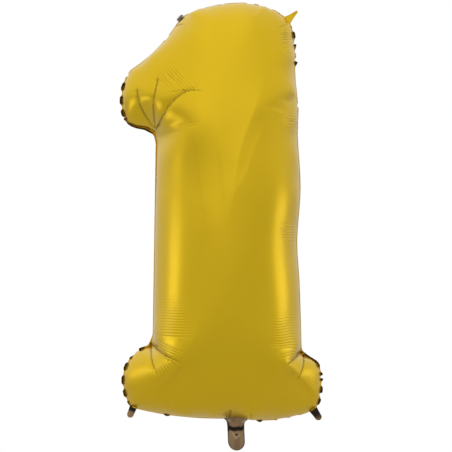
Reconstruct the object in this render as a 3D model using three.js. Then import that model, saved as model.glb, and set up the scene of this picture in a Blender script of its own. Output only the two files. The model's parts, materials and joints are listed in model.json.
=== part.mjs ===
// Foil number balloon in the shape of a numeral 1: two sheets of metallised film, heat-sealed round
// their rim and inflated, with a filling neck below the base, a self-sealing valve and four hanging tabs.
//
// Millimetres. +Z is up and the front faces -Y. The seam lies in the plane y = 0, and the origin is
// the root of the neck, where the balloon's ribbon is tied.

import * as THREE from 'three';

// ---- Film ----

const FILM = 0.6; // one foil sheet, as modelled
const VALVE_FILM = 0.4; // one valve ply, as modelled
const CLEARANCE = 0.3; // between films that lie against each other
const FILM_CORNER_FACETS = 5; // in each round corner of a flat film
const RIM_WIDTH = 5; // flat sealed rim round the numeral
const HALF_DEPTH = 145; // seam plane to the crown of either side, halfway up the stem
const CROWN_MIDDLE = 430; // height at which the crown is highest
const CROWN_REACH = 560; // how far from there it would come down to the seam plane
const CROWN_FULLNESS = 2.6; // 2 is a parabola, more is blunter

// ---- Neck and valve ----

const NECK_WIDTH = 35;
const NECK_LENGTH = 62.5;
const NECK_CORNER = 10; // radius of the two corners at its end
const NECK_FOLD_GAP = 1.7; // from the fold line to the film on either side of it
const VALVE_WIDTH = 24;
const VALVE_MOUTH_DEPTH = 42; // how far down the neck the valve reaches
const VALVE_NOTCH_WIDTH = 16; // the V in its front ply, where the straw goes in
const VALVE_NOTCH_HEIGHT = 12;
const VALVE_INNER_LENGTH = 165; // how far up it reaches inside the balloon
const VALVE_INNER_CORNER = 6;

// ---- Hanging tabs ----

const TAB_WIDTH = 15;
const TAB_LENGTH = 22;
const TAB_CORNER = 5.5;
const TAB_CORNER_FACETS = 4;
const TAB_FOLD_GAP = 1; // from the fold line to the film on either side of it
const TAB_FILM = 2 * FILM; // both sheets, sealed together

// Each tab grows from a straight stretch of the rim, [x, z] to [x, z] clockwise as seen from the front.
// Its fold is the angle that it leans out of the seam plane, towards the back, in degrees.
const TABS = [
	{ name: 'bottom_left', root: [[-203, 22], [-218, 28]], fold: 0 },
	{ name: 'top_left', root: [[-119, 817], [-107, 830]], fold: 68 },
	{ name: 'top_right', root: [[102, 827], [113, 815]], fold: 20 },
	{ name: 'bottom_right', root: [[167, 26], [152, 16]], fold: 0 },
];

// ---- Numeral ----

const NECK_ROOT_HALF = 22; // straight stretch of the base that the neck grows from, with its fillets
const OUTLINE_STEP = 28; // longest facet along the outline
const SPINE_X = -17; // the crown runs up the middle of the stem
const SPINE_BOTTOM = 100;
const SPINE_TOP = 740;
const RING_SHARES = [0.04, 0.14, 0.32, 0.58, 0.92]; // of the way from the rim to the spine

// Where the valve passes between the sheets, they stand apart by its thickness.
const VALVE_PASSAGE_FULL = 34; // half-width at full thickness
const VALVE_PASSAGE_END = 62; // half-width at which the sheets meet again

const foilGold = { color: 0xc4a628, roughness: 0.35, metalness: 1 };
const bareFilm = { color: 0x7d6447, roughness: 0.4, metalness: 0.6 };
const valveFilm = { color: 0xd8cdb4, roughness: 0.5, metalness: 0 };

function namedMesh(name, geometry, look) {
	const mesh = new THREE.Mesh(geometry, new THREE.MeshStandardMaterial(look));
	mesh.name = name;
	return mesh;
}

function tab(name) {
	return TABS.find((entry) => entry.name === name);
}

// ---- Outline of the numeral, clockwise from the neck, as a path of x and z ----

function numeralOutline() {
	const path = new THREE.Path();
	path.moveTo(-NECK_ROOT_HALF, NECK_FOLD_GAP);

	// Left half of the base's bottom, and the left end of the base.
	path.quadraticCurveTo(-120, 1, ...tab('bottom_left').root[0]);
	path.lineTo(...tab('bottom_left').root[1]);
	path.bezierCurveTo(-229, 48, -236, 82, -231, 98);
	path.bezierCurveTo(-224, 124, -205, 151, -180, 154);

	// Inner corner, left side of the stem, and the corner under the nose.
	path.quadraticCurveTo(-171, 156, -171, 175);
	path.lineTo(-165, 568);
	path.quadraticCurveTo(-166, 594, -186, 596);

	// Nose: its underside, its blunt end and the slope above it.
	path.quadraticCurveTo(-206, 597, -222, 607);
	path.bezierCurveTo(-241, 624, -240, 694, -217, 718);
	path.quadraticCurveTo(-159, 754, ...tab('top_left').root[0]);

	// Top edge.
	path.lineTo(...tab('top_left').root[1]);
	path.quadraticCurveTo(-50, 857, 14, 857);
	path.quadraticCurveTo(70, 855, ...tab('top_right').root[0]);
	path.lineTo(...tab('top_right').root[1]);

	// Right side of the stem: a long, slightly wavy edge.
	path.quadraticCurveTo(122, 790, 125, 745);
	path.splineThru([
		new THREE.Vector2(123, 707),
		new THREE.Vector2(130, 635),
		new THREE.Vector2(128, 585),
		new THREE.Vector2(134, 475),
		new THREE.Vector2(127, 368),
		new THREE.Vector2(132, 280),
		new THREE.Vector2(136, 152),
	]);

	// Inner corner and the right end of the base.
	path.quadraticCurveTo(136, 130, 150, 130);
	path.bezierCurveTo(170, 128, 178, 102, 177, 82);
	path.bezierCurveTo(176, 62, 176, 40, ...tab('bottom_right').root[0]);
	path.lineTo(...tab('bottom_right').root[1]);

	// Right half of the base's bottom.
	path.quadraticCurveTo(108, -2, 60, -2);
	path.quadraticCurveTo(36, -2, NECK_ROOT_HALF, NECK_FOLD_GAP);
	path.lineTo(-NECK_ROOT_HALF, NECK_FOLD_GAP);
	return path;
}

function facetPoints(path) {
	return path.curves.flatMap((curve) => {
		const facets = Math.ceil(curve.getLength() / OUTLINE_STEP);
		return curve.getSpacedPoints(facets).slice(0, -1);
	});
}

// Each point moved inwards, square to the outline there.
function insetPoints(points, distance) {
	return points.map((point, i) => {
		const before = points.at(i - 1);
		const after = points[(i + 1) % points.length];
		const along = after.clone().sub(before).normalize();
		return point.clone().add(new THREE.Vector2(along.y, -along.x).multiplyScalar(distance));
	});
}

function spinePoint(point) {
	return new THREE.Vector2(SPINE_X, THREE.MathUtils.clamp(point.y, SPINE_BOTTOM, SPINE_TOP));
}

// How far the crown stands from the seam plane at a height.
function crownHeight(z) {
	const away = Math.abs(z - CROWN_MIDDLE) / CROWN_REACH;
	return HALF_DEPTH * (1 - away ** CROWN_FULLNESS);
}

// Half the distance between the two sheets where they are sealed.
function seamGap(point) {
	const sealed = CLEARANCE / 2;
	if (point.y > SPINE_BOTTOM) {
		return sealed;
	}
	const past = THREE.MathUtils.smoothstep(Math.abs(point.x), VALVE_PASSAGE_FULL, VALVE_PASSAGE_END);
	return sealed + (1 - past) * (VALVE_FILM + CLEARANCE);
}

// ---- Foil panel: a pillow of rings that climb from the rim to the spine ----

function panelRings(side) {
	const edge = facetPoints(numeralOutline());
	const rimInner = insetPoints(edge, RIM_WIDTH);
	const gaps = edge.map(seamGap);
	const place = (point, i, height) => (
		new THREE.Vector3(point.x, side * (gaps[i] + height), point.y)
	);

	const outer = [edge, rimInner].map((ring) => ring.map((point, i) => place(point, i, FILM)));
	for (const share of RING_SHARES) {
		const roundness = Math.sqrt(1 - (1 - share) ** 2);
		outer.push(rimInner.map((point, i) => {
			const spine = spinePoint(point);
			const rise = crownHeight(spine.y) * roundness;
			return place(point.clone().lerp(spine, share), i, FILM + rise);
		}));
	}
	const inner = [edge, insetPoints(rimInner, FILM)].map((ring) => (
		ring.map((point, i) => place(point, i, 0))
	));
	return { outer, inner };
}

// Triangles between neighbouring rings, and over the last ring.
function skinTriangles(rings, crown) {
	const count = rings[0].length;
	const triangles = [];
	for (let ring = 0; ring < rings.length - 1; ring += 1) {
		for (let i = 0; i < count; i += 1) {
			const next = (i + 1) % count;
			const [a, b] = [ring * count + i, ring * count + next];
			const [c, d] = [a + count, b + count];
			triangles.push([a, b, d], [a, d, c]);
		}
	}
	const last = (rings.length - 1) * count;
	for (const triangle of crown) {
		triangles.push(triangle.map((i) => last + i));
	}
	return triangles;
}

function surface(points, triangles) {
	const geometry = new THREE.BufferGeometry().setFromPoints(points);
	geometry.setIndex(triangles.flat());
	geometry.computeVertexNormals();
	return geometry;
}

function crownTriangles(ring) {
	const flat = ring.map((point) => new THREE.Vector2(point.x, point.z));
	const triangles = THREE.ShapeUtils.triangulateShape(flat, []);
	const [a, b, c] = triangles[0].map((i) => flat[i]);
	const clockwise = b.clone().sub(a).cross(c.clone().sub(a)) < 0;
	return triangles.map(([i, j, k]) => (clockwise ? [i, j, k] : [i, k, j]));
}

function panelGeometry(side) {
	const { outer, inner } = panelRings(side);
	const count = outer[0].length;
	const skin = skinTriangles(outer, crownTriangles(outer.at(-1)));

	// The inside follows the outside, one film's thickness in.
	const outside = surface(outer.flat(), skin);
	const normal = new THREE.Vector3();
	for (let ring = inner.length; ring < outer.length; ring += 1) {
		inner.push(outer[ring].map((point, i) => {
			normal.fromBufferAttribute(outside.attributes.normal, ring * count + i);
			normal.multiplyScalar(Math.sign(normal.y) * side);
			return point.clone().addScaledVector(normal, -FILM);
		}));
	}

	const shift = outer.length * count;
	const triangles = [...skin];
	for (const [a, b, c] of skin) {
		triangles.push([shift + a, shift + c, shift + b]);
	}
	for (let i = 0; i < count; i += 1) {
		const next = (i + 1) % count;
		triangles.push([i, shift + next, next], [i, shift + i, shift + next]);
	}
	const outward = side > 0 ? triangles : triangles.map(([a, b, c]) => [a, c, b]);
	return surface([...outer.flat(), ...inner.flat()], outward);
}

// ---- Flat films ----

// A sheet of film cut to a shape of x and z, whose front face lies at y = front.
function flatFilm(name, shape, front, thickness, look) {
	const geometry = new THREE.ExtrudeGeometry(shape, {
		depth: thickness,
		bevelEnabled: false,
		curveSegments: FILM_CORNER_FACETS,
	});
	const mesh = namedMesh(name, geometry, look);
	mesh.rotation.x = Math.PI / 2;
	mesh.position.y = front + thickness;
	return mesh;
}

// A strip centred on x = 0 between two heights, with round corners at its far end.
function stripShape(width, near, far, corner) {
	const half = width / 2;
	const way = Math.sign(far - near);
	const shape = new THREE.Shape();
	shape.moveTo(half, near);
	shape.lineTo(half, far - way * corner);
	shape.quadraticCurveTo(half, far, half - corner, far);
	shape.lineTo(corner - half, far);
	shape.quadraticCurveTo(-half, far, -half, far - way * corner);
	shape.lineTo(-half, near);
	shape.closePath();
	return shape;
}

function notchedStripShape() {
	const half = VALVE_WIDTH / 2;
	const shape = new THREE.Shape();
	shape.moveTo(-half, -NECK_FOLD_GAP);
	shape.lineTo(-half, -VALVE_MOUTH_DEPTH);
	shape.lineTo(-VALVE_NOTCH_WIDTH / 2, -VALVE_MOUTH_DEPTH);
	shape.lineTo(0, VALVE_NOTCH_HEIGHT - VALVE_MOUTH_DEPTH);
	shape.lineTo(VALVE_NOTCH_WIDTH / 2, -VALVE_MOUTH_DEPTH);
	shape.lineTo(half, -VALVE_MOUTH_DEPTH);
	shape.lineTo(half, -NECK_FOLD_GAP);
	shape.closePath();
	return shape;
}

// ---- Neck and valve, stacked front to back: neck film, valve ply, valve ply, neck film ----

const valveFront = -CLEARANCE / 2 - VALVE_FILM;
const valveBack = CLEARANCE / 2;
const neckFront = valveFront - CLEARANCE - FILM;
const neckBack = valveBack + VALVE_FILM + CLEARANCE;

function neck() {
	const shape = stripShape(NECK_WIDTH, -NECK_FOLD_GAP, -NECK_LENGTH, NECK_CORNER);
	const backPly = stripShape(VALVE_WIDTH, -NECK_FOLD_GAP, -VALVE_MOUTH_DEPTH, VALVE_INNER_CORNER);
	return [
		flatFilm('neck_front_film', shape, neckFront, FILM, bareFilm),
		flatFilm('neck_back_film', shape, neckBack, FILM, bareFilm),
		flatFilm('valve_front_film', notchedStripShape(), valveFront, VALVE_FILM, valveFilm),
		flatFilm('valve_back_film', backPly, valveBack, VALVE_FILM, valveFilm),
	];
}

function innerValve() {
	const shape = stripShape(VALVE_WIDTH, NECK_FOLD_GAP, VALVE_INNER_LENGTH, VALVE_INNER_CORNER);
	return [
		flatFilm('valve_inner_front_film', shape, valveFront, VALVE_FILM, valveFilm),
		flatFilm('valve_inner_back_film', shape, valveBack, VALVE_FILM, valveFilm),
	];
}

// ---- Hanging tab: a tongue that grows square to its root and folds about it ----

function hangingTab({ name, root, fold }) {
	const [start, end] = root.map(([x, z]) => new THREE.Vector3(x, 0, z));
	const along = end.clone().sub(start).normalize();
	const outward = new THREE.Vector3(-along.z, 0, along.x);
	const foldLine = start.clone().add(end).multiplyScalar(0.5).addScaledVector(outward, TAB_FOLD_GAP);

	const half = TAB_WIDTH / 2;
	const shape = new THREE.Shape();
	shape.moveTo(half, TAB_FOLD_GAP);
	shape.lineTo(half, TAB_LENGTH - TAB_CORNER);
	shape.quadraticCurveTo(half, TAB_LENGTH, half - TAB_CORNER, TAB_LENGTH);
	shape.lineTo(TAB_CORNER - half, TAB_LENGTH);
	shape.quadraticCurveTo(-half, TAB_LENGTH, -half, TAB_LENGTH - TAB_CORNER);
	shape.lineTo(-half, TAB_FOLD_GAP);
	shape.closePath();
	const geometry = new THREE.ExtrudeGeometry(shape, {
		depth: TAB_FILM,
		bevelEnabled: false,
		curveSegments: TAB_CORNER_FACETS,
	});
	geometry.translate(0, 0, -TAB_FILM / 2);

	const mesh = namedMesh(`hanging_tab_${name}`, geometry, bareFilm);
	mesh.rotation.x = THREE.MathUtils.degToRad(-fold);
	const frame = new THREE.Group();
	frame.matrixAutoUpdate = false;
	frame.matrix.makeBasis(along, outward, along.clone().cross(outward)).setPosition(foldLine);
	frame.add(mesh);
	return frame;
}

// ---- The balloon ----

const balloon = new THREE.Group();
balloon.add(namedMesh('front_foil_panel', panelGeometry(-1), foilGold));
balloon.add(namedMesh('back_foil_panel', panelGeometry(1), foilGold));
balloon.add(...neck(), ...innerValve());
balloon.add(...TABS.map(hangingTab));

export default balloon;
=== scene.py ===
"""Filled foil balloon, the numeral one: satin gold film, welded rim, valve neck and four hanging tabs."""

import json
import math

import bpy
import numpy as np
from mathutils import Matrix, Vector
from mathutils.geometry import delaunay_2d_cdt


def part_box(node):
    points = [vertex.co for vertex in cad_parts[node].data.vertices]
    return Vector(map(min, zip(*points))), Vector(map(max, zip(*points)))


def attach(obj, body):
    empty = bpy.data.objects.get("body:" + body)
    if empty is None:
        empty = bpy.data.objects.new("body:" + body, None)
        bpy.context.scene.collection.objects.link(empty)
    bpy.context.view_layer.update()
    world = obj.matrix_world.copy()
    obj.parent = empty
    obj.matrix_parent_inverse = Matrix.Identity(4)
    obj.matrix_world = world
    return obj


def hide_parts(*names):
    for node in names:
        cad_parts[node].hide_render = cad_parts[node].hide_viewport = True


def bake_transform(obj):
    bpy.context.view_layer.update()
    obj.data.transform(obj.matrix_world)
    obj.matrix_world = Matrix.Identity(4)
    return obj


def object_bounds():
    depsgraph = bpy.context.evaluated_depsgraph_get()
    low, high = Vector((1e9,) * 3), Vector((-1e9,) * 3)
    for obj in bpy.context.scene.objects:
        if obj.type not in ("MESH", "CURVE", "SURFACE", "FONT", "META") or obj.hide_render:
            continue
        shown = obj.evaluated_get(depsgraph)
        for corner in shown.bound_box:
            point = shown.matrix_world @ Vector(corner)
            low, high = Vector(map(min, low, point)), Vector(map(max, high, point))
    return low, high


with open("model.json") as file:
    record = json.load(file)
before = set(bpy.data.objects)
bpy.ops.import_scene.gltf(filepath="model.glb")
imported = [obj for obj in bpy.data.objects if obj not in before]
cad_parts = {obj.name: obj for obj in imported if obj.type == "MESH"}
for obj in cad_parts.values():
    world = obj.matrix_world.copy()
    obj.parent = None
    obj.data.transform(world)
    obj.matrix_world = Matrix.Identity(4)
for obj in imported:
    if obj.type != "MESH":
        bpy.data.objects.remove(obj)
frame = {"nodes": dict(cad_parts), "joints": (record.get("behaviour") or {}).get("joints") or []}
cad_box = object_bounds()

# --------------------------------------------------------------------------------------------------
# Driving dimensions, in metres unless a name says otherwise

# The film before filling: a closed smooth line through these points (mm), anticlockwise from the neck.
CUT_OUTLINE_MM = [
    (-42, -64), (38, -64), (114, -52), (180, -22), (213, 30), (223, 85), (214, 118), (208, 140),
    (208, 197), (208, 332), (208, 468), (208, 536), (206, 609), (199, 685), (184, 766), (154, 838),
    (98, 890), (2, 915), (-81, 905), (-156, 862), (-213, 808), (-260, 753), (-285, 690), (-288, 650),
    (-276, 618), (-250, 594), (-246, 568), (-246, 485), (-246, 350), (-246, 217), (-246, 165),
    (-252, 138), (-268, 110), (-269, 70), (-250, 8), (-192, -35), (-117, -55),
]
FILM_STEP = 0.011
# The grid's points keep this share of a step away from the seam.
CLEAR_OF_SEAM = 0.6
RIM_WIDTH = 0.005
FILM_GAP = 0.004
FILL_FRAMES = 36
# The film as Blender's cloth: soft when squeezed, so that it wrinkles, and stiff when stretched.
FILM_CLOTH = {
    "quality": 6,
    "air_damping": 3,
    "tension_stiffness": 80,
    "compression_stiffness": 0.5,
    "shear_stiffness": 20,
    "bending_stiffness": 0.02,
    "tension_damping": 5,
    "compression_damping": 5,
    "shear_damping": 5,
    "bending_damping": 0.5,
    "use_pressure": True,
    "uniform_pressure_force": 10,
    "vertex_group_pressure": "gas",
}
# Mass of a point of the simulated film where its points are 10 mm apart.
POINT_MASS = 0.1
# The flat films are this uneven before filling, so that they buckle naturally.
UNEVENNESS = 0.0003
# The filled shape is drawn to the outline in rounds: how far each spreads its pull along the seam.
DRAW_SPREADS = (0.08, 0.04, 0.02, 0.012, 0.012)
EDGE_PULL_REACH = 0.012
EDGE_FADE = 0.02
SEAM_INSET = 0.0025
# The shape is eased in rounds of a step and a larger step back, and keeps this share of its lumps.
EASE_SHARES = [0.6, -0.62]
EASE_ROUNDS = 60
LUMPS_KEPT = 0.12

# Sharp creases at the inside corners, the tabs and the neck (mm, x and z on the front), each with how
# deep it is and how far its flanks reach. A negative depth is a ridge.
CREASES_MM = [
    ([(-202, 676), (-199, 654), (-191, 632), (-170, 598)], 2.6, 6.0),
    ([(-158, 697), (-165, 667), (-169, 640), (-167, 597)], 3.4, 7.0),
    ([(-165, 595), (-148, 622), (-131, 646), (-104, 667), (-74, 679)], 4.0, 8.0),
    ([(-177, 157), (-174, 140), (-169, 118), (-157, 94)], 2.8, 6.0),
    ([(-177, 157), (-153, 142), (-135, 133), (-106, 123)], 3.2, 7.0),
    ([(141, 143), (118, 128), (103, 119)], 2.8, 6.0),
    ([(141, 143), (140, 126), (136, 106), (126, 86)], 2.6, 6.0),
    ([(-124, 808), (-103, 809)], 0.9, 4.0),
    ([(70, 755), (89, 749), (110, 735)], -0.8, 4.0),
    ([(74, 631), (97, 622), (124, 606)], -0.6, 4.0),
    ([(-10, 24), (-11, 12), (-15, 2)], 1.8, 4.0),
    ([(31, 17), (31, 2)], 1.2, 3.0),
]
# Each crease starts at a share of its depth, grows over one share of its length and fades over another.
CREASE_START = 0.4
CREASE_GROWS_OVER = 0.1
CREASE_FADES_OVER = 0.35
# Points this close to a crease are moved onto it, and a crease this deep gets its painted shade at full
# strength.
CREASE_SNAP = 0.0015
CREASE_FULL_MM = 2.6
# Long soft folds: on the left of each line's direction the film falls away by the first number, over
# about the second (mm). Each fades at both ends, over this share of its length.
FOLD_FADE = 0.38
FOLDS_MM = [
    ([(-12, 380), (-17, 415), (-31, 553), (-36, 615), (-48, 654), (-62, 674)], 1.5, 17.0),
    ([(-26, 372), (-17, 410), (-7, 451), (10, 553), (50, 666), (70, 746)], 4.0, 44.0),
    ([(-17, 440), (19, 502), (45, 574), (76, 631)], 1.6, 24.0),
    ([(-53, 369), (-64, 426), (-84, 574), (-96, 640)], 0.9, 13.0),
    ([(-103, 128), (-76, 200), (-66, 290), (-58, 369)], 0.8, 10.0),
    ([(-92, 138), (-116, 112), (-140, 84), (-172, 54)], 4.0, 13.0),
    ([(176, 40), (146, 74), (120, 104), (94, 130)], 4.0, 13.0),
]

# Fine ripples where the film was drawn in: centre (mm, x and z), size along x and z, and strength.
RIPPLE_PATCHES_MM = [
    ((-130, 697), (26, 20), 1.6),
    ((-92, 648), (16, 34), 1.3),
    ((100, 782), (12, 24), 1.5),
    ((112, 612), (16, 14), 0.9),
    ((106, 388), (16, 24), 0.8),
    ((-128, 180), (24, 62), 0.8),
    ((104, 170), (22, 56), 0.7),
]
# Ripples that fan out from an inside corner: the corner, the patch's centre and its size (mm).
RIPPLE_FANS_MM = [
    ((-176, 156), (-142, 108), 22),
    ((142, 138), (112, 98), 22),
]
# The distance from the corner at which a fan's ripples are as far apart as the others.
RIPPLE_FAN_RADIUS = 0.05
RIPPLE_STEP = 0.0055
RIPPLE_HEIGHT = 0.00045
# The ripples wander: how far (radians), and how fine the noise is that bends them.
RIPPLE_WANDER = 5.0
RIPPLE_NOISE = 25.0

# Where the rim has curled up and gets painted shade: centre (mm, x and z) and size.
CURLED_RIM_MM = [
    ((-237, 650), 62), ((-232, 85), 66), ((178, 75), 66), ((122, 785), 26), ((128, 742), 24),
    ((-142, 6), 10), ((52, -4), 12), ((88, -3), 10),
]
# Where it is curled all along, without scallops, and also gets painted shade.
ROLLED_RIM_MM = [((-196, 601), 36), ((-204, 141), 24), ((157, 123), 26)]
ROLLED_SHARE = 0.6
SCALLOP_STEP = 0.023
# How much each scallop's curled part outweighs its flat part, and how far (radians) and how often
# (radians per metre) their spacing wanders.
SCALLOP_LIFT = 0.75
SCALLOP_WANDER = (1.5, 37)
RIM_FLAT = 0.0016
RIM_PLY = 0.0003
RIM_CURL = 0.004
# The plain rim gets painted olive shade up the stem and a painted cream highlight round the top: heights
# (mm), and how much at each.
OLIVE_SHADE_HEIGHTS_MM = ([150, 170, 620, 680], [0, 1, 1, 0])
CREAM_HIGHLIGHT_HEIGHTS_MM = ([640, 720], [0, 1])
# A mark has faded to nothing at this many times its reach.
MARK_END = 1.6

# The neck's middle line from inside the balloon to its end: how far it stands out, and its height.
NECK_PROFILE_MM = [
    (20, 8), (17.5, 2), (13, -3), (10, -8), (7.5, -13), (3.0, -17.5),
    (1.6, -22), (2.4, -30), (3.0, -40), (2.2, -52), (0.2, -62.4),
]
# Its two films: the piece, the side of the balloon and the CAD node that it stands for.
NECK_FILMS = (("neck_front", -1, "neck_front_film"), ("neck_back", 1, "neck_back_film"))
NECK_LENGTH_MM = 62.5
NECK_MIDDLE_MM = -0.5
NECK_PLY = 0.0003
# Painted highlights on little creases at the two corners of its root, as x and z, and the size of each.
ROOT_HIGHLIGHTS_MM = [(-13.5, -0.5), (14.5, -2.5), (17.5, -0.5)]
ROOT_HIGHLIGHT_SIZE_MM = (2.6, 2.2)
# Where the plain brown film of the neck's root reaches up onto the balloon.
ROOT_MIDDLE_MM = (2, 0)
ROOT_REACH_MM = (12, 8)
NECK_HALF_MM = 17.2
NECK_ROUND_FROM = 0.70
NECK_LEAN_MM = 2.8
# Its flare at the root fades over this height. On each side: its width (mm) and how much it may grow.
NECK_FLARE_MM = 3.5
LEFT_FLARE = (3, 2)
RIGHT_FLARE = (7, 1.6)
NECK_BORDER_MM = 3.0
NECK_EDGE_MM = 0.5
NECK_SWELL_MM = 9
# The painted shade of the fold across its front film: its height, its width, how it bows, and its waves
# (size, length).
NECK_FOLD_MM = -18.0
NECK_FOLD_WIDTH_MM = 5.5
NECK_FOLD_BOW = 0.012
NECK_FOLD_WAVE_MM = (0.8, 2.5)
# The shade down its left edge: its width, the height where it ends, and how fast it does.
EDGE_SHADE_MM = 5.0
EDGE_SHADE_END_MM = -26
EDGE_SHADE_FADE_MM = 6
# A spot of painted shade under the valve's mouth: its middle and its size, x and z.
NOTCH_SHADE_MM = ((2, -30), (3.5, 2.2))
# The mouth of the valve: a raised pale chevron across the front film.
VALVE_MOUTH_MM = [(-8, -24), (0.6, -37.5), (8.5, -30)]
VALVE_MOUTH_WIDTH_MM = 1.1
VALVE_MOUTH_RISE_MM = 0.9

# Each tab: its length, half its width at the root, the radius of its tip, and how far it curls.
TABS_MM = {
    "bottom_left": (20, 7.5, 6.5, 0.6),
    "top_left": (22, 8.0, 7.0, -0.4),
    "top_right": (25, 8.5, 2.2, 0.8),
    "bottom_right": (24, 8.5, 6.5, -0.6),
}
TAB_TUCK_MM = 7
# A full curl at the tip, the hollow across the root and the slight wave of each tab (mm).
TAB_CURL_MM = 6
TAB_HOLLOW_MM = 0.9
TAB_WAVE_MM = 0.5
TAB_PLY = 0.0004
# The tab that stands up shows its gold side.
GOLD_TAB = "top_right"
# How far the painted shade at each tab's root reaches down it.
TAB_ROOT_SHADE_MM = {"bottom_left": 8, "top_left": 9, "top_right": 1, "bottom_right": 20}

# Colours and gloss of the foil, the plain film and the valve, and the colours of the painted shade and
# highlights on them.
GOLD_DEEP = (0.83, 0.555, 0.006)
GOLD_BRIGHT = (0.89, 0.590, 0.012)
COAT = 0.3
COAT_ROUGHNESS = 0.2
# Painted shade on the curled rim.
RIM_SHADE = (0.10, 0.055, 0.02)
# Painted olive shade on the stem's rim and a painted cream highlight on the rim round the top.
RIM_OLIVE_SHADE = (0.30, 0.22, 0.06)
RIM_CREAM_HIGHLIGHT = (0.92, 0.84, 0.60)
FILM_DARK = (0.27, 0.165, 0.085)
FILM_LIGHT = (0.42, 0.275, 0.150)
FILM_BORDER = (0.10, 0.075, 0.05)
# Painted shade on the neck's folds and the tabs' roots.
FILM_SHADE = (0.022, 0.017, 0.014)
# The pale valve mouth and the painted highlights on the neck root's creases.
FILM_PALE_AND_HIGHLIGHT = (0.50, 0.42, 0.24)
# Painted shade in the foil's creases.
CREASE_SHADE = (0.26, 0.15, 0.004)
VALVE_DARK = (0.34, 0.27, 0.15)
VALVE_LIGHT = (0.55, 0.48, 0.30)
# What is marked on the foil: the mark, how much of the gold it covers, and its colour. The crease and
# olive rim marks are painted shade, the cream rim mark a painted highlight.
FOIL_MARKS = (
    ("crease", 0.75, CREASE_SHADE),
    ("olive_rim_shade", 0.55, RIM_OLIVE_SHADE),
    ("cream_rim_highlight", 0.6, RIM_CREAM_HIGHLIGHT),
    ("bare_root", 0.85, FILM_LIGHT),
)
FOIL_ROUGHNESS = (0.28, 0.35)
FILM_METALLIC = 0.6
FILM_SPECULAR = 0.25
FILM_ROUGHNESS = (0.30, 0.46)
WRINKLE_HEIGHT = 0.0006
VALVE_ROUGHNESS = (0.38, 0.55)
# The foil on the lobes of the base is more crinkled, so rougher: by how much, and below which heights.
LOBE_ROUGHER = 0.09
LOBE_TOPS = (0.09, 0.16)

# The room's light by direction: at the camera and at the sides, below and above, left, middle and right.
ROOM_DIM = 0.82
SIDE_LIGHT = 0.83
LOW_DIM = 0.46
HIGH_LIGHT = 1.10
LEFT_DIM = 0.88
MIDDLE_LIGHT = 0.98
RIGHT_DIM = 0.79
# Between which values of a direction's y, z or x each of those changes, and the white backdrop begins.
CAMERA_TO_SIDES = (-0.95, -0.1)
LOW_TO_HIGH = (-0.4, 0.3)
LEFT_TO_MIDDLE = (-0.9, 0.1)
MIDDLE_TO_RIGHT = (-0.3, 0.8)
BACKDROP_FROM = (0.96, 0.985)

FLOOR_DARK = (0.59, 0.59, 0.59)
FLOOR_LIGHT = (0.63, 0.63, 0.63)
FLOOR_ROUGHNESS = 0.9
FLOOR_LEVEL = -0.45
FLOOR_HALF = 4.1
CAMERA_LENS = 200
CAMERA_SENSOR = 36
PICTURE_WIDTH = 0.9266
PICTURE_CENTRE = (-0.0199, 0.3977)
# Each soft light: its name, its place from the balloon's middle, its width and height, and its power.
SOFT_LIGHTS = [
    ("left_softbox", (-1.3, -0.1, -0.14), (0.50, 0.36), 0.43),
    ("right_softbox", (1.35, 0.04, -0.14), (0.56, 0.36), 0.50),
]


# --------------------------------------------------------------------------------------------------
# Plane outlines


def signed_area(line):
    """The area inside a closed line, negative where it runs clockwise."""
    x, z = line[:, 0], line[:, 1]
    return 0.5 * np.sum(x * np.roll(z, -1) - np.roll(x, -1) * z)


def evenly_spaced(line, step):
    """The closed line again, with points about step apart."""
    closed = np.vstack([line, line[:1]])
    run = np.concatenate([[0], np.cumsum(np.linalg.norm(np.diff(closed, axis=0), axis=1))])
    at = np.linspace(0, run[-1], int(round(run[-1] / step)), endpoint=False)
    return np.stack([np.interp(at, run, closed[:, k]) for k in range(2)], 1)


def spline_place(before, here, after, beyond, t):
    """The place on a Catmull-Rom line at the share t of the way from here to after."""
    return 0.5 * (2 * here + (after - before) * t
                  + (2 * before - 5 * here + 4 * after - beyond) * t**2
                  + (3 * here - before - 3 * after + beyond) * t**3)


def smooth_closed(points, parts=20):
    """A closed smooth line through the points."""
    before, after, beyond = (np.roll(points, k, 0) for k in (1, -1, -2))
    shares = np.linspace(0, 1, parts, endpoint=False)
    rows = [spline_place(before, points, after, beyond, t) for t in shares]
    return np.stack(rows, 1).reshape(-1, 2)


def smooth_open(points, parts=8):
    """An open smooth line through the points."""
    held = np.vstack([2 * points[0] - points[1], points, 2 * points[-1] - points[-2]])
    shares = np.linspace(0, 1, parts, endpoint=False)
    fours = zip(held, held[1:], held[2:], held[3:])
    rows = [spline_place(*four, t) for four in fours for t in shares]
    return np.array(rows + [points[-1]])


def turn(a, b):
    """Positive where the second plane direction lies to the left of the first."""
    return a[..., 0] * b[..., 1] - a[..., 1] * b[..., 0]


def outward(line):
    """Unit normals of an anticlockwise closed line, away from its inside."""
    along = np.roll(line, -1, 0) - np.roll(line, 1, 0)
    along /= np.linalg.norm(along, axis=1)[:, None]
    return np.stack([along[:, 1], -along[:, 0]], 1)


def is_inside(line, points):
    """Which points lie inside the closed line."""
    crossed = np.zeros(len(points), bool)
    for (x1, z1), (x2, z2) in zip(line, np.roll(line, -1, 0)):
        if z1 == z2:
            continue
        spans = (z1 > points[:, 1]) != (z2 > points[:, 1])
        crossed ^= spans & (points[:, 0] < (x2 - x1) * (points[:, 1] - z1) / (z2 - z1) + x1)
    return crossed


def nearest_on(line, points):
    """For each point: the closest place on the closed line, its distance, and its run along the line."""
    best = np.full(len(points), np.inf)
    place = np.zeros((len(points), 2))
    run = np.zeros(len(points))
    start = 0.0
    for a, b in zip(line, np.roll(line, -1, 0)):
        edge = b - a
        length = np.linalg.norm(edge)
        t = np.clip((points - a) @ edge / max(length**2, 1e-12), 0, 1)
        foot = a + t[:, None] * edge
        far = np.linalg.norm(points - foot, axis=1)
        closer = far < best
        best[closer], place[closer], run[closer] = far[closer], foot[closer], start + t[closer] * length
        start += length
    return place, best, run


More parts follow.
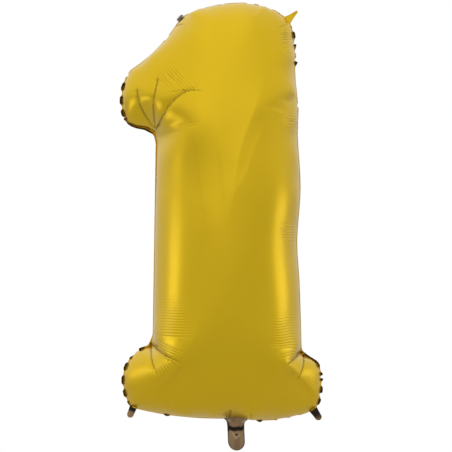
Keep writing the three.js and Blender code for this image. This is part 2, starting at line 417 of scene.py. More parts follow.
def along_open(line, places):
    """For each place: its distance from the line, the share passed, and whether it is on its left."""
    best = np.full(len(places), np.inf)
    passed = np.zeros(len(places))
    left = np.zeros(len(places), bool)
    lengths = np.linalg.norm(np.diff(line, axis=0), axis=1)
    start = 0.0
    for a, b, length in zip(line[:-1], line[1:], lengths):
        t = np.clip((places - a) @ (b - a) / length**2, 0, 1)
        far = np.linalg.norm(places - a - t[:, None] * (b - a), axis=1)
        closer = far < best
        best[closer], passed[closer] = far[closer], start + t[closer] * length
        left[closer] = (turn(b - a, places - a) > 0)[closer]
        start += length
    return best, passed / start, left


def walked(edges):
    """The closed loops that the edges make, each a list of point numbers in order."""
    beside = {}
    for a, b in edges:
        beside.setdefault(a, []).append(b)
        beside.setdefault(b, []).append(a)
    loops, seen = [], set()
    for first in beside:
        loop, here = [], first
        while here is not None and here not in seen:
            seen.add(here)
            loop.append(here)
            here = next((n for n in beside[here] if n not in seen), None)
        if len(loop) > 2:
            loops.append(loop)
    return loops


def rim_outline():
    """The filled balloon's outer edge, anticlockwise, as (x, z): the front weld face's longest edge."""
    mesh = frame["nodes"]["front_foil_panel"].data
    number, corner = {}, []
    for vertex in mesh.vertices:
        corner.append(number.setdefault(tuple(round(c, 5) for c in vertex.co), len(number)))
    points = np.array(list(number))
    uses = {}
    for face in mesh.polygons:
        ring = [corner[i] for i in face.vertices]
        faces_back = face.normal.y > 0.99
        at_seam = all(abs(points[i][1]) < 0.002 for i in ring)
        if faces_back and at_seam:
            for edge in zip(ring, ring[1:] + ring[:1]):
                key = tuple(sorted(edge))
                uses[key] = uses.get(key, 0) + 1
    loops = walked([edge for edge, count in uses.items() if count == 1])
    line = max((points[loop][:, [0, 2]] for loop in loops), key=lambda loop: abs(signed_area(loop)))
    return line if signed_area(line) > 0 else line[::-1]


# --------------------------------------------------------------------------------------------------
# The two films, filled by simulation


def cut_film(seam):
    """Triangles over the cut film: the seam's own points first, then a triangular grid inside it."""
    low, high = seam.min(0) - FILM_STEP, seam.max(0) + FILM_STEP
    rows = []
    for k, z in enumerate(np.arange(low[1], high[1], FILM_STEP * math.sqrt(3) / 2)):
        x = np.arange(low[0] + (k % 2) * FILM_STEP / 2, high[0], FILM_STEP)
        rows.append(np.stack([x, np.full_like(x, z)], 1))
    grid = np.vstack(rows)
    grid = grid[is_inside(seam, grid)]
    grid = grid[nearest_on(seam, grid)[1] > CLEAR_OF_SEAM * FILM_STEP]
    points = np.vstack([seam, grid])
    edges = [(i, (i + 1) % len(seam)) for i in range(len(seam))]
    made, _, faces, *_ = delaunay_2d_cdt([Vector(p) for p in points], edges, [], 1, 1e-7)
    flat, faces = np.array([tuple(p) for p in made]), np.array(faces)
    a, b, c = (flat[faces[:, k]] for k in range(3))
    turned = turn(b - a, c - a) < 0
    faces[turned] = faces[turned][:, [0, 2, 1]]
    return flat, faces


def two_films():
    """Both films laid flat, sharing the seam's points, and the welded rim round them."""
    seam = evenly_spaced(smooth_closed(np.array(CUT_OUTLINE_MM) / 1000), FILM_STEP)
    flat, front = cut_film(seam)
    ring, whole = len(seam), len(flat)
    edge = seam + outward(seam) * RIM_WIDTH
    points = np.zeros((2 * whole, 3))
    points[:whole, [0, 2]] = flat
    points[ring:whole, 1] = -FILM_GAP / 2
    points[whole:2 * whole - ring, [0, 2]] = flat[ring:]
    points[whole:2 * whole - ring, 1] = FILM_GAP / 2
    points[2 * whole - ring:, [0, 2]] = edge
    points[:, 1] += np.random.default_rng(1).normal(0, UNEVENNESS, len(points))
    back = np.where(front < ring, front, front - ring + whole)[:, [0, 2, 1]]
    inner = np.arange(ring)
    after = (inner + 1) % ring
    outer = inner + 2 * whole - ring
    outer_after = after + 2 * whole - ring
    rim = np.vstack([np.stack([inner, outer, outer_after], 1), np.stack([inner, outer_after, after], 1)])
    return points, front, back, rim, ring


def filled(points, faces, gas_points):
    """The points after gas has filled the films and settled."""
    mesh = bpy.data.meshes.new("filling")
    mesh.from_pydata(points.tolist(), [], faces.tolist())
    thing = bpy.data.objects.new("filling", mesh)
    scene = bpy.context.scene
    scene.collection.objects.link(thing)
    thing.vertex_groups.new(name="gas").add(list(range(gas_points)), 1.0, "REPLACE")
    cloth = thing.modifiers.new("cloth", "CLOTH")
    for setting, value in FILM_CLOTH.items():
        setattr(cloth.settings, setting, value)
    cloth.settings.mass = POINT_MASS * (FILM_STEP / 0.01) ** 2
    cloth.settings.effector_weights.gravity = 0
    cloth.collision_settings.use_collision = False
    cloth.collision_settings.use_self_collision = False
    cloth.point_cache.frame_start, cloth.point_cache.frame_end = 1, FILL_FRAMES
    scene.frame_start, scene.frame_end = 1, FILL_FRAMES
    for number in range(1, FILL_FRAMES + 1):
        scene.frame_set(number)
    shape = thing.evaluated_get(bpy.context.evaluated_depsgraph_get()).to_mesh()
    settled = np.zeros(len(shape.vertices) * 3)
    shape.vertices.foreach_get("co", settled)
    bpy.data.objects.remove(thing)
    bpy.data.meshes.remove(mesh)
    scene.frame_set(1)
    return settled.reshape(-1, 3)


def smoothed_round(rows, spread, step):
    """The rows of a closed ring, averaged over a bell of that spread."""
    steps = np.arange(-int(3 * spread / step), int(3 * spread / step) + 1)
    weights = np.exp(-0.5 * (steps * step / spread) ** 2)
    return sum(w * np.roll(rows, k, 0) for k, w in zip(steps, weights)) / weights.sum()


def eased_out(points, faces, rounds):
    """The shape without its short lumps: points go towards their neighbours and back, round by round."""
    count = len(points)
    edges = np.vstack([faces[:, [0, 1]], faces[:, [1, 2]], faces[:, [2, 0]]])
    pairs = np.unique(np.sort(edges, axis=1), axis=0)
    both = np.vstack([pairs, pairs[:, ::-1]])
    near, beside = both[:, 0], both[:, 1]
    degree = np.maximum(np.bincount(near, minlength=count), 1)
    eased = points.copy()
    for share in EASE_SHARES * rounds:
        total = np.stack([np.bincount(near, eased[beside, k], minlength=count) for k in range(3)], 1)
        eased += share * (total / degree[:, None] - eased)
    return eased


def drawn_to_line(points, ring, line):
    """The filled shape moved in its own plane until its seam, its first points, runs along the line."""
    plane = points[:, [0, 2]].copy()
    for spread in DRAW_SPREADS:
        edge = plane[:ring].copy()
        step = np.linalg.norm(np.roll(edge, -1, 0) - edge, axis=1).mean()
        pull = smoothed_round(nearest_on(line, edge)[0] - edge, spread, step)
        away = np.linalg.norm(plane[:, None] - edge[None], axis=2)
        share = (away**2 + EDGE_PULL_REACH**2) ** -1.5
        plane += share @ pull / share.sum(1)[:, None]
    eased = points.copy()
    eased[:, [0, 2]] = plane
    return eased


# --------------------------------------------------------------------------------------------------
# Meshes


def mesh_object(name, points, faces):
    """A new smooth-shaded object in the scene."""
    mesh = bpy.data.meshes.new(name)
    mesh.from_pydata([tuple(p) for p in points], [], [tuple(int(i) for i in f) for f in faces])
    mesh.polygons.foreach_set("use_smooth", [True] * len(mesh.polygons))
    mesh.update()
    thing = bpy.data.objects.new(name, mesh)
    bpy.context.scene.collection.objects.link(thing)
    return thing


def point_values(thing, name, values):
    spot = thing.data.attributes.get(name) or thing.data.attributes.new(name, "FLOAT", "POINT")
    spot.data.foreach_set("value", np.asarray(values, np.float32))


def read_values(thing, name):
    values = np.zeros(len(thing.data.vertices), np.float32)
    thing.data.attributes[name].data.foreach_get("value", values)
    return values


def coordinates(thing):
    flat = np.zeros(len(thing.data.vertices) * 3)
    thing.data.vertices.foreach_get("co", flat)
    return flat.reshape(-1, 3)


def set_coordinates(thing, points):
    thing.data.vertices.foreach_set("co", np.asarray(points, float).ravel())
    thing.data.update()


def vertex_normals(thing):
    flat = np.zeros(len(thing.data.vertices) * 3, np.float32)
    thing.data.vertices.foreach_get("normal", flat)
    return flat.reshape(-1, 3)


def keep_modifiers(thing):
    """Applies the object's modifiers to its mesh."""
    shape = thing.evaluated_get(bpy.context.evaluated_depsgraph_get())
    made = bpy.data.meshes.new_from_object(shape)
    thing.modifiers.clear()
    thing.data = made
    return thing


def subdivided(thing, levels):
    finer = thing.modifiers.new("finer", "SUBSURF")
    finer.levels = finer.render_levels = levels
    return keep_modifiers(thing)


def foil_sheet(name, points, faces, rim, ring):
    """One film with its half of the welded rim; the seam between them stays a crisp fold."""
    used = np.unique(np.concatenate([faces.ravel(), rim.ravel()]))
    number = np.full(len(points), -1)
    number[used] = np.arange(len(used))
    thing = mesh_object(name, points[used], number[np.vstack([faces, rim])])
    point_values(thing, "rim", used >= len(points) - ring)
    point_values(thing, "on_seam", used < ring)
    fold = thing.data.attributes.new("crease_edge", "FLOAT", "EDGE")
    for edge in thing.data.edges:
        a, b = sorted(used[i] for i in edge.vertices)
        if b < ring and b - a in (1, ring - 1):
            fold.data[edge.index].value = 1.0
    return subdivided(thing, 2)


def smooth_path(line_mm):
    """The smooth open line through points given in millimetres, in metres."""
    return smooth_open(np.array(line_mm, float)) / 1000


def marked(away):
    """How strongly places are marked, from how many of the mark's reaches away they are."""
    return np.clip(MARK_END - away, 0, 1)


def snap_to_creases(piece):
    """Slides the points very close to a crease onto it, in the numeral's plane, so that it is crisp."""
    points = coordinates(piece)
    for line, _, _ in CREASES_MM:
        path = smooth_path(line)
        away, passed, _ = along_open(path, points[:, [0, 2]])
        run = np.concatenate([[0], np.cumsum(np.linalg.norm(np.diff(path, axis=0), axis=1))])
        foot = np.stack([np.interp(passed * run[-1], run, path[:, k]) for k in range(2)], 1)
        near = (away < CREASE_SNAP) & (passed > 0) & (passed < 1)
        points[np.ix_(near, [0, 2])] = foot[near]
    set_coordinates(piece, points)


def fold_lines(piece):
    """Soft folds: on the left of each line the film falls away from a crisp edge, then levels out."""
    points = coordinates(piece)
    fallen = np.zeros(len(points))
    for line, depth, reach in FOLDS_MM:
        away, passed, left = along_open(smooth_path(line), points[:, [0, 2]])
        from_end = np.minimum(passed, 1 - passed)
        fade = 0.5 - 0.5 * np.cos(math.pi * np.clip(from_end / FOLD_FADE, 0, 1))
        slope = np.where(left, away * 1000 / reach, 0)
        fallen += depth / 1000 * fade * slope * np.exp(1 - slope)
    points -= vertex_normals(piece) * fallen[:, None]
    set_coordinates(piece, points)


def press_creases(piece):
    """Presses in each crease, a sharp edge with flanks that level out, and marks its middle for painted
    shade.
    """
    points = coordinates(piece)
    raised = np.zeros(len(points))
    mark = np.zeros(len(points))
    for line, depth, flank in CREASES_MM:
        away, passed, _ = along_open(smooth_path(line), points[:, [0, 2]])
        growing = passed / CREASE_GROWS_OVER + CREASE_START
        fade = np.clip(np.minimum(growing, (1 - passed) / CREASE_FADES_OVER), 0, 1)
        raised -= depth / 1000 * fade * np.exp(-away * 1000 / flank)
        strength = min(max(depth, 0) / CREASE_FULL_MM, 1)
        # Painted shade along the crease's middle, strongest where it is deepest.
        mark = np.maximum(mark, strength * fade * marked(away / CREASE_SNAP))
    points += vertex_normals(piece) * raised[:, None]
    set_coordinates(piece, points)
    point_values(piece, "crease", mark)


def seam_of(piece):
    """The fold between the piece's film and its rim, in order, as (x, z)."""
    on_seam = read_values(piece, "on_seam") > 0.999
    pairs = (edge.vertices for edge in piece.data.edges)
    loops = walked([(a, b) for a, b in pairs if on_seam[a] and on_seam[b]])
    return coordinates(piece)[max(loops, key=len)][:, [0, 2]]


def mark_ripples(piece, run):
    """Where the film is finely rippled, and the distance that its ripples are counted along."""
    places = coordinates(piece)[:, [0, 2]]
    size, phase = np.zeros(len(places)), run.copy()
    for centre, reach, strength in RIPPLE_PATCHES_MM:
        apart = (places * 1000 - centre) / reach
        size = np.maximum(size, strength * np.exp(-(apart**2).sum(1)))
    for corner, centre, reach in RIPPLE_FANS_MM:
        near = np.exp(-(((places * 1000 - centre) / reach) ** 2).sum(1))
        arm = places - np.array(corner) / 1000
        turned = np.arctan2(arm[:, 1], arm[:, 0]) * RIPPLE_FAN_RADIUS
        phase = np.where(near > size, turned, phase)
        size = np.maximum(size, near)
    point_values(piece, "ripple_size", size)
    point_values(piece, "ripple_phase", phase)


def sharpen_seam(piece, line):
    """Draws the film near the seam to the line once more, now that its points are close together."""
    points = coordinates(piece)
    edge = points[read_values(piece, "on_seam") > 0.999][:, [0, 2]]
    gap = nearest_on(line, edge)[0] - edge
    near = np.flatnonzero(nearest_on(line, points[:, [0, 2]])[1] < 2 * EDGE_FADE)
    # In parts, so that the table of distances stays small.
    for part in np.array_split(near, 8):
        away = np.linalg.norm(points[part][:, None, [0, 2]] - edge[None], axis=2)
        share = (away**2 + EDGE_PULL_REACH**2 / 16) ** -2
        pull = share @ gap / share.sum(1)[:, None]
        points[np.ix_(part, [0, 2])] += pull * np.exp(-((away.min(1) / EDGE_FADE) ** 2))[:, None]
    set_coordinates(piece, points)


def near_spots(places, spots):
    """How much each place (mm) belongs to the spots: one well inside, none outside."""
    share = np.zeros(len(places))
    for centre, size in spots:
        away = np.linalg.norm(places - centre, axis=1) / size
        share = np.maximum(share, np.clip(2 * (1 - away), 0, 1))
    return share


def shape_rim(piece, seam, side):
    """Narrows the rim, except where it has curled up, in scallops or all along, and marks its colours:
    painted shade on the curled rim, painted olive shade up the stem, a painted cream highlight round the
    top, and the bare root.
    """
    points = coordinates(piece)
    rim = read_values(piece, "rim")
    on_rim = rim > 0.01
    foot, away, run = nearest_on(seam, points[on_rim][:, [0, 2]])
    wander, often = SCALLOP_WANDER
    turns = 2 * math.pi * run / SCALLOP_STEP + wander * np.sin(run * often)
    wave = np.clip(SCALLOP_LIFT + np.cos(turns), 0, 1)
    rolled = near_spots(foot * 1000, ROLLED_RIM_MM)
    curled = np.maximum(near_spots(foot * 1000, CURLED_RIM_MM) * wave, ROLLED_SHARE * rolled)
    width = RIM_FLAT + (RIM_WIDTH - RIM_FLAT) * curled
    outward_way = (points[on_rim][:, [0, 2]] - foot) / np.maximum(away, 1e-6)[:, None]
    points[np.ix_(on_rim, [0, 2])] = foot + outward_way * (width * rim[on_rim])[:, None]
    points[on_rim, 1] = RIM_PLY * side - RIM_CURL * curled * rim[on_rim] ** 2
    set_coordinates(piece, points)
    # Painted shade on the curled and rolled parts of the rim.
    painted_shade = np.zeros(len(rim))
    painted_shade[on_rim] = np.maximum(curled, rolled) * np.clip(6 * rim[on_rim], 0, 1)
    point_values(piece, "dark_rim", painted_shade)
    # Painted olive shade up the stem's rim and a painted cream highlight round the top, except where the
    # rim is shaded.
    height = points[:, 2] * 1000
    point_values(piece, "olive_rim_shade", rim * np.interp(height, *OLIVE_SHADE_HEIGHTS_MM))
    point_values(piece, "cream_rim_highlight", rim * np.interp(height, *CREAM_HIGHLIGHT_HEIGHTS_MM) * (1 - painted_shade))
    away = np.linalg.norm((points[:, [0, 2]] * 1000 - ROOT_MIDDLE_MM) / ROOT_REACH_MM, axis=1)
    point_values(piece, "bare_root", marked(away))


# --------------------------------------------------------------------------------------------------
# Neck and hanging tabs


def grid_piece(name, rows):
    """A film through a grid of points, rows by columns."""
    rows = np.asarray(rows, float)
    high, wide = rows.shape[:2]
    at = np.arange(high * wide).reshape(high, wide)
    faces = np.stack([at[:-1, :-1], at[:-1, 1:], at[1:, 1:], at[1:, :-1]], -1).reshape(-1, 4)
    return mesh_object(name, rows.reshape(-1, 3), faces)


def thickened(piece, thickness):
    """The film with a thickness, half of it on each side."""
    solid = piece.modifiers.new("thickness", "SOLIDIFY")
    solid.thickness, solid.offset = thickness, 0
    return keep_modifiers(piece)


def neck_edges(z):
    """The neck's left and right edge at each height (mm): it leans, flares at its root and ends round."""
    depth = np.clip(-z / NECK_LENGTH_MM, 0, 1)
    into_end = np.clip(depth - NECK_ROUND_FROM, 0, 1) / (1 - NECK_ROUND_FROM)
    half = NECK_HALF_MM * np.sqrt(np.clip(1 - into_end**2, 0, 1))
    middle = NECK_MIDDLE_MM + NECK_LEAN_MM * depth
    flare = np.exp(z / NECK_FLARE_MM)
    left, right = (wide * np.minimum(flare, most) for wide, most in (LEFT_FLARE, RIGHT_FLARE))
    return middle - half - left, middle + half + right


def spot(x, z, centre, size):
    """A soft mark that is one at its centre and fades over its size."""
    return np.exp(-(((x - centre[0]) / size[0]) ** 2) - ((z - centre[1]) / size[1]) ** 2)


def neck_shade(x, z, left):
    """The painted shade of the front film's folds: across it, down its left edge, and at the valve's
    mouth.
    """
    wave, wave_length = NECK_FOLD_WAVE_MM
    fold = z - NECK_FOLD_MM - NECK_FOLD_BOW * x**2 - wave * np.sin(x / wave_length)
    across = np.exp(-((fold / NECK_FOLD_WIDTH_MM) ** 2))
    down = np.exp(-((x - left[:, None]) / EDGE_SHADE_MM) ** 2)
    down = down * np.clip((z - EDGE_SHADE_END_MM) / EDGE_SHADE_FADE_MM, 0, 1)
    return np.maximum(np.maximum(across, down), spot(x, z, *NOTCH_SHADE_MM))


def neck_film(name, side):
    """One film of the neck: from inside the balloon, over its swollen root, to its round end."""
    profile = smooth_open(np.array(NECK_PROFILE_MM, float), 12)
    across = np.sin(np.linspace(-1, 1, 41) * math.pi / 2)
    left, right = neck_edges(profile[:, 1])
    x = left[:, None] + (right - left)[:, None] * ((across + 1) / 2)
    z = np.repeat(profile[:, 1:], len(across), 1)
    inward = np.minimum(x - left[:, None], right[:, None] - x)
    inward = np.minimum(inward, np.abs(z + NECK_LENGTH_MM))
    y = NECK_EDGE_MM + profile[:, :1] * np.clip(inward / NECK_SWELL_MM, 0, 1) ** 0.6
    marks = {"border": np.clip(1 - inward / NECK_BORDER_MM, 0, 1)}
    columns = slice(None, None, -1)
    if side < 0:
        columns = slice(None)
        places = np.stack([x, z], -1).reshape(-1, 2)
        away = along_open(np.array(VALVE_MOUTH_MM, float), places)[0]
        chevron = marked(away / VALVE_MOUTH_WIDTH_MM).reshape(x.shape)
        y = y + VALVE_MOUTH_RISE_MM * chevron
        # Painted highlights on the little creases at the root's corners, sharing the pale mark with the
        # valve's mouth.
        creases = sum(spot(x, z, place, ROOT_HIGHLIGHT_SIZE_MM) for place in ROOT_HIGHLIGHTS_MM)
        marks["pale"] = np.clip(chevron + creases, 0, 1)
        # Painted shade in the neck's fold, down its left edge and under the valve's mouth.
        marks["painted_shade"] = neck_shade(x, z, left)
    piece = grid_piece(name, np.stack([x, side * y, z], -1)[:, columns] / 1000)
    for label, grid in marks.items():
        point_values(piece, label, grid[:, columns].ravel())
    return thickened(piece, NECK_PLY)


def hanging_tab(name, joint, node):
    """A tab of both films welded together, tucked under the rim at its root and curling away from it."""
    root = Vector(joint["pos_m"])
    along = Vector(joint["axis"]).normalized()
    low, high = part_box(node)
    out = (low + high) / 2 - root
    out = (out - along * out.dot(along)).normalized()
    face = along.cross(out)
    length, half, tip, curl = TABS_MM[name]
    rows, painted_shade = [], []
    for v in np.linspace(-TAB_TUCK_MM, length, 33):
        share = max(v, 0) / length
        wide = half + (tip - half) * share**0.8
        wide *= math.sqrt(max(1 - max((v - length + tip) / tip, 0) ** 2, 0.003))
        row = []
        for u in np.linspace(-1, 1, 17):
            hollow = TAB_HOLLOW_MM * (u**2 - 0.4) * (1 - share)
            wave = TAB_WAVE_MM * math.sin(5 * share + 3 * u)
            lift = curl * share**2 * TAB_CURL_MM + hollow + wave
            row.append(root + (along * (u * wide) + out * v + face * lift) / 1000)
            # Painted shade at the tab's root, where it is tucked under the rim.
            painted_shade.append(float(np.exp(-((v / TAB_ROOT_SHADE_MM[name]) ** 2))))
        rows.append([tuple(p) for p in row])
    piece = grid_piece("tab_film_" + name, rows)
    point_values(piece, "painted_shade", painted_shade)
    point_values(piece, "gold", np.full(len(painted_shade), float(name == GOLD_TAB)))
    return thickened(piece, TAB_PLY)


# --------------------------------------------------------------------------------------------------
# Materials


def nodes_for(name):
    """A new material, its node tree and its shader."""
    material = bpy.data.materials.new(name)
    material.use_nodes = True
    tree = material.node_tree
    return material, tree, tree.nodes["Principled BSDF"]


def node(tree, kind, inputs=(), **settings):
    """A new node with its settings made and its inputs given as values or as sockets to link."""
    made = tree.nodes.new(kind)
    for key, value in settings.items():
        setattr(made, key, value)
    for key, value in dict(inputs).items():
        if isinstance(value, bpy.types.NodeSocket):
            tree.links.new(value, made.inputs[key])
        else:
            made.inputs[key].default_value = value
    return made


def noise(tree, where, scale, detail=2.0, roughness=0.5, stretch=(1, 1, 1)):
    """Soft random values from 0 to 1 in space."""
    place = node(tree, "ShaderNodeMapping", {"Vector": where, "Scale": stretch}).outputs[0]
    inputs = {"Vector": place, "Scale": scale, "Detail": detail, "Roughness": roughness}
    return node(tree, "ShaderNodeTexNoise", inputs).outputs["Fac"]


def ranged(tree, value, low, high, to_low=0.0, to_high=1.0):
    """The value mapped from low..high to to_low..to_high, smoothly and held at both ends."""
    inputs = {"Value": value, "From Min": low, "From Max": high, "To Min": to_low, "To Max": to_high}
    return node(tree, "ShaderNodeMapRange", inputs, interpolation_type="SMOOTHSTEP").outputs["Result"]


def maths(tree, operation, a, b):
    return node(tree, "ShaderNodeMath", {0: a, 1: b}, operation=operation).outputs[0]


def mixed(tree, share, a, b):
    """The colour that is the share of the way from a to b."""
    made = node(tree, "ShaderNodeMix", {0: share}, data_type="RGBA")
    for socket, value in ((made.inputs[6], a), (made.inputs[7], b)):
        if isinstance(value, bpy.types.NodeSocket):
            tree.links.new(value, socket)
        else:
            socket.default_value = (*value, 1)
    return made.outputs[2]


def attribute(tree, name):
    return node(tree, "ShaderNodeAttribute", attribute_name=name).outputs["Fac"]


def foil_ripples(tree, where):
    """Normals of the fine ripples, where they are marked on the foil."""
    turns = maths(tree, "MULTIPLY", attribute(tree, "ripple_phase"), 2 * math.pi / RIPPLE_STEP)
    wander = maths(tree, "MULTIPLY", noise(tree, where, RIPPLE_NOISE, detail=1.0), RIPPLE_WANDER)
    angle = maths(tree, "ADD", turns, wander)
    wave = node(tree, "ShaderNodeMath", {0: angle}, operation="SINE").outputs[0]
    height = maths(tree, "MULTIPLY", wave, attribute(tree, "ripple_size"))
    inputs = {"Height": height, "Strength": 1.0, "Distance": RIPPLE_HEIGHT}
    return node(tree, "ShaderNodeBump", inputs).outputs[0]


def gold_foil():
    """Satin metallised film with a thin clear coat, with painted shade in its creases and on its curled
    rim, painted olive shade up the stem's rim and a painted cream highlight on the rim round the top.
    """
    material, tree, foil = nodes_for("satin_gold_foil")
    where = node(tree, "ShaderNodeTexCoord").outputs["Object"]
    gold = mixed(tree, noise(tree, where, scale=6.0, detail=3.0), GOLD_DEEP, GOLD_BRIGHT)
    for label, share, colour in FOIL_MARKS:
        gold = mixed(tree, maths(tree, "MULTIPLY", attribute(tree, label), share), gold, colour)
    # Painted shade on the curled rim.
    painted_shade = ranged(tree, attribute(tree, "dark_rim"), 0.15, 0.45)
    tree.links.new(mixed(tree, painted_shade, gold, RIM_SHADE), foil.inputs["Base Color"])
    mottle = ranged(tree, noise(tree, where, scale=9.0), 0.0, 1.0, *FOIL_ROUGHNESS)
    height = node(tree, "ShaderNodeSeparateXYZ", {"Vector": where}).outputs["Z"]
    crinkled = ranged(tree, height, *LOBE_TOPS, LOBE_ROUGHER, 0.0)
    tree.links.new(maths(tree, "ADD", mottle, crinkled), foil.inputs["Roughness"])
    tree.links.new(foil_ripples(tree, where), foil.inputs["Normal"])
    foil.inputs["Metallic"].default_value = 1.0
    foil.inputs["Coat Weight"].default_value = COAT
    foil.inputs["Coat Roughness"].default_value = COAT_ROUGHNESS
    return material


def bare_film():
    """The film's plain side, on the neck and tabs: brown, with soft streaks and wrinkled gloss, painted
    shade in the neck's folds and at the tabs' roots, and a pale valve mouth with painted highlights on
    the root's creases.
    """
    material, tree, film = nodes_for("brown_film")
    where = node(tree, "ShaderNodeTexCoord").outputs["Object"]
    streaks = noise(tree, where, scale=60.0, detail=3.0, roughness=0.6, stretch=(1, 1, 0.35))
    base = mixed(tree, ranged(tree, streaks, 0.3, 0.7), FILM_DARK, FILM_LIGHT)
    border = ranged(tree, attribute(tree, "border"), 0.1, 0.5, to_high=0.75)
    base = mixed(tree, border, base, FILM_BORDER)
    # Painted shade in the neck's folds and at the tabs' roots.
    shade = ranged(tree, attribute(tree, "painted_shade"), 0.15, 0.8)
    base = mixed(tree, shade, base, FILM_SHADE)
    base = mixed(tree, attribute(tree, "gold"), base, GOLD_BRIGHT)
    # The pale valve mouth and the painted highlights on the neck root's creases.
    tree.links.new(mixed(tree, attribute(tree, "pale"), base, FILM_PALE_AND_HIGHLIGHT), film.inputs["Base Color"])
    film.inputs["Metallic"].default_value = FILM_METALLIC
    film.inputs["Specular IOR Level"].default_value = FILM_SPECULAR
    tree.links.new(ranged(tree, streaks, 0.2, 0.8, *FILM_ROUGHNESS), film.inputs["Roughness"])
    wrinkles = noise(tree, where, scale=220.0, stretch=(1, 1, 0.5))
    bump = node(tree, "ShaderNodeBump", {"Height": wrinkles, "Strength": 0.6, "Distance": WRINKLE_HEIGHT})
    tree.links.new(bump.outputs[0], film.inputs["Normal"])
    return material


def valve_plastic():
    """The thin cloudy film of the valve."""
    material, tree, film = nodes_for("cloudy_valve_film")
    where = node(tree, "ShaderNodeTexCoord").outputs["Object"]
    cloud = noise(tree, where, scale=45.0, detail=3.0)
    tree.links.new(mixed(tree, cloud, VALVE_DARK, VALVE_LIGHT), film.inputs["Base Color"])
    tree.links.new(ranged(tree, cloud, 0.3, 0.7, *VALVE_ROUGHNESS), film.inputs["Roughness"])
    return material


# --------------------------------------------------------------------------------------------------
# Surroundings


def light_room(scene):
    """A plain room, lit by direction, with a white backdrop far behind the balloon."""
    world = bpy.data.worlds.new("studio")
    scene.world = world
    world.use_nodes = True
    tree = world.node_tree
    background = tree.nodes["Background"]
    facing = node(tree, "ShaderNodeTexCoord").outputs["Generated"]
    x, y, z = node(tree, "ShaderNodeSeparateXYZ", {"Vector": facing}).outputs[:]
    around = ranged(tree, y, *CAMERA_TO_SIDES, ROOM_DIM, SIDE_LIGHT)
    height = ranged(tree, z, *LOW_TO_HIGH, LOW_DIM, HIGH_LIGHT)
    leftward = ranged(tree, x, *LEFT_TO_MIDDLE, LEFT_DIM, 1.0)
    rightward = ranged(tree, x, *MIDDLE_TO_RIGHT, MIDDLE_LIGHT, RIGHT_DIM)
    across = maths(tree, "MULTIPLY", leftward, rightward)
    room = maths(tree, "MULTIPLY", maths(tree, "MULTIPLY", around, height), across)
    backdrop = ranged(tree, y, *BACKDROP_FROM)
    tree.links.new(maths(tree, "MAXIMUM", room, backdrop), background.inputs["Strength"])
    background.inputs["Color"].default_value = (1.0, 1.0, 1.0, 1)


def lay_floor():
    """A plain pale floor below the balloon."""
    sides = ((-1, -1), (1, -1), (1, 1), (-1, 1))
    corners = [(x * FLOOR_HALF, y * FLOOR_HALF, FLOOR_LEVEL) for x, y in sides]
    floor = mesh_object("floor", corners, [(0, 1, 2, 3)])
    material, tree, paint = nodes_for("pale_floor")
    where = node(tree, "ShaderNodeTexCoord").outputs["Object"]
    grey = mixed(tree, noise(tree, where, scale=3.0), FLOOR_DARK, FLOOR_LIGHT)
    tree.links.new(grey, paint.inputs["Base Color"])
    paint.inputs["Roughness"].default_value = FLOOR_ROUGHNESS
    floor.data.materials.append(material)


def place_lights(scene):
    """Soft lights beside the balloon, each turned to its middle."""
    middle = (cad_box[0] + cad_box[1]) / 2
    for name, place, size, power in SOFT_LIGHTS:
        lamp = bpy.data.lights.new(name, "AREA")
        lamp.shape = "RECTANGLE"
        lamp.size, lamp.size_y = size
        lamp.energy = power
        thing = bpy.data.objects.new(name, lamp)
        scene.collection.objects.link(thing)
        thing.location = middle + Vector(place)
        thing.rotation_euler = (middle - thing.location).to_track_quat("-Z", "Y").to_euler()


def place_camera(scene):
    """A long lens straight in front, so far off that the picture is PICTURE_WIDTH wide at the seam."""
    lens = bpy.data.cameras.new("camera")
    camera = bpy.data.objects.new("camera", lens)
    scene.collection.objects.link(camera)
    scene.camera = camera
    lens.lens, lens.sensor_width = CAMERA_LENS, CAMERA_SENSOR
    distance = PICTURE_WIDTH * CAMERA_LENS / CAMERA_SENSOR
    camera.location = (PICTURE_CENTRE[0], -distance, PICTURE_CENTRE[1])
    camera.rotation_euler = (math.radians(90), 0, 0)


# --------------------------------------------------------------------------------------------------
# The balloon


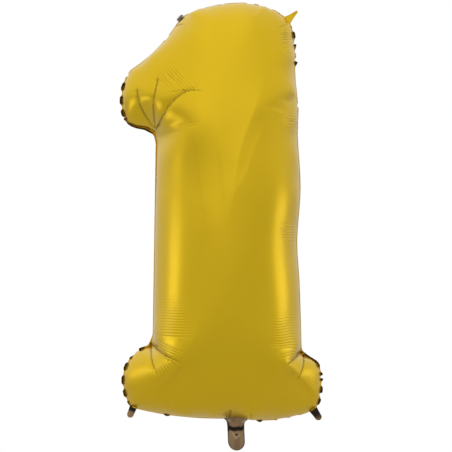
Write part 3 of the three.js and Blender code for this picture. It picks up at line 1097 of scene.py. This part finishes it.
def inflated_films(seam_line):
    """Both films after filling, eased and drawn to the seam line, as deep as the CAD's panels."""
    points, front, back, rim, ring = two_films()
    gas = len(points) - ring
    points = filled(points, np.vstack([front, back, rim]), gas)
    smooth = points.copy()
    smooth[:gas] = eased_out(points[:gas], np.vstack([front, back]), EASE_ROUNDS)
    smooth[gas:] += smooth[:ring] - points[:ring]
    points = smooth + LUMPS_KEPT * (points - smooth)
    points = drawn_to_line(points, ring, seam_line)
    low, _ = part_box("front_foil_panel")
    points[:, 1] *= -low.y / np.abs(points[:, 1]).max()
    points[:ring, 1] = 0
    return points, front, back, rim, ring


def add_foil_films():
    """The front and the back foil with its rim, folds, creases and ripples."""
    outline = rim_outline()
    seam_line = outline - outward(outline) * SEAM_INSET
    points, front_faces, back_faces, rim, ring = inflated_films(seam_line)
    front = foil_sheet("front_foil_film", points, front_faces, rim, ring)
    back = foil_sheet("back_foil_film", points, back_faces, rim[:, ::-1], ring)
    foil = gold_foil()
    for piece, panel, side in ((front, "front_foil_panel", -1), (back, "back_foil_panel", 1)):
        sharpen_seam(piece, seam_line)
        shape_rim(piece, seam_of(piece), side)
        mark_ripples(piece, nearest_on(outline, coordinates(piece)[:, [0, 2]])[2])
        snap_to_creases(piece)
        fold_lines(piece)
        press_creases(piece)
        piece.data.materials.append(foil)
        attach(piece, "envelope")
        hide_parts(panel)


def add_neck(film):
    """The neck's two films, in place of the CAD's."""
    for name, side, nodes in NECK_FILMS:
        piece = neck_film(name, side)
        piece.data.materials.append(film)
        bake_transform(piece)
        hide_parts(nodes)


def add_hanging_tabs(film):
    """The four tabs, each in place of its CAD tab."""
    for joint in frame["joints"]:
        name = joint["name"].removesuffix("_tab_flip")
        if name not in TABS_MM:
            continue
        node_name = "hanging_tab_" + name
        piece = hanging_tab(name, joint, node_name)
        piece.data.materials.append(film)
        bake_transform(piece)
        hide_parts(node_name)


def paint_valve():
    """The valve's own CAD films, which show only in the neck, get their material."""
    valve = valve_plastic()
    for name, thing in frame["nodes"].items():
        if name.startswith("valve"):
            thing.data.materials.clear()
            thing.data.materials.append(valve)


scene = bpy.context.scene
scene.view_settings.view_transform = "Standard"
add_foil_films()
film = bare_film()
add_neck(film)
add_hanging_tabs(film)
paint_valve()
light_room(scene)
lay_floor()
place_lights(scene)
place_camera(scene)
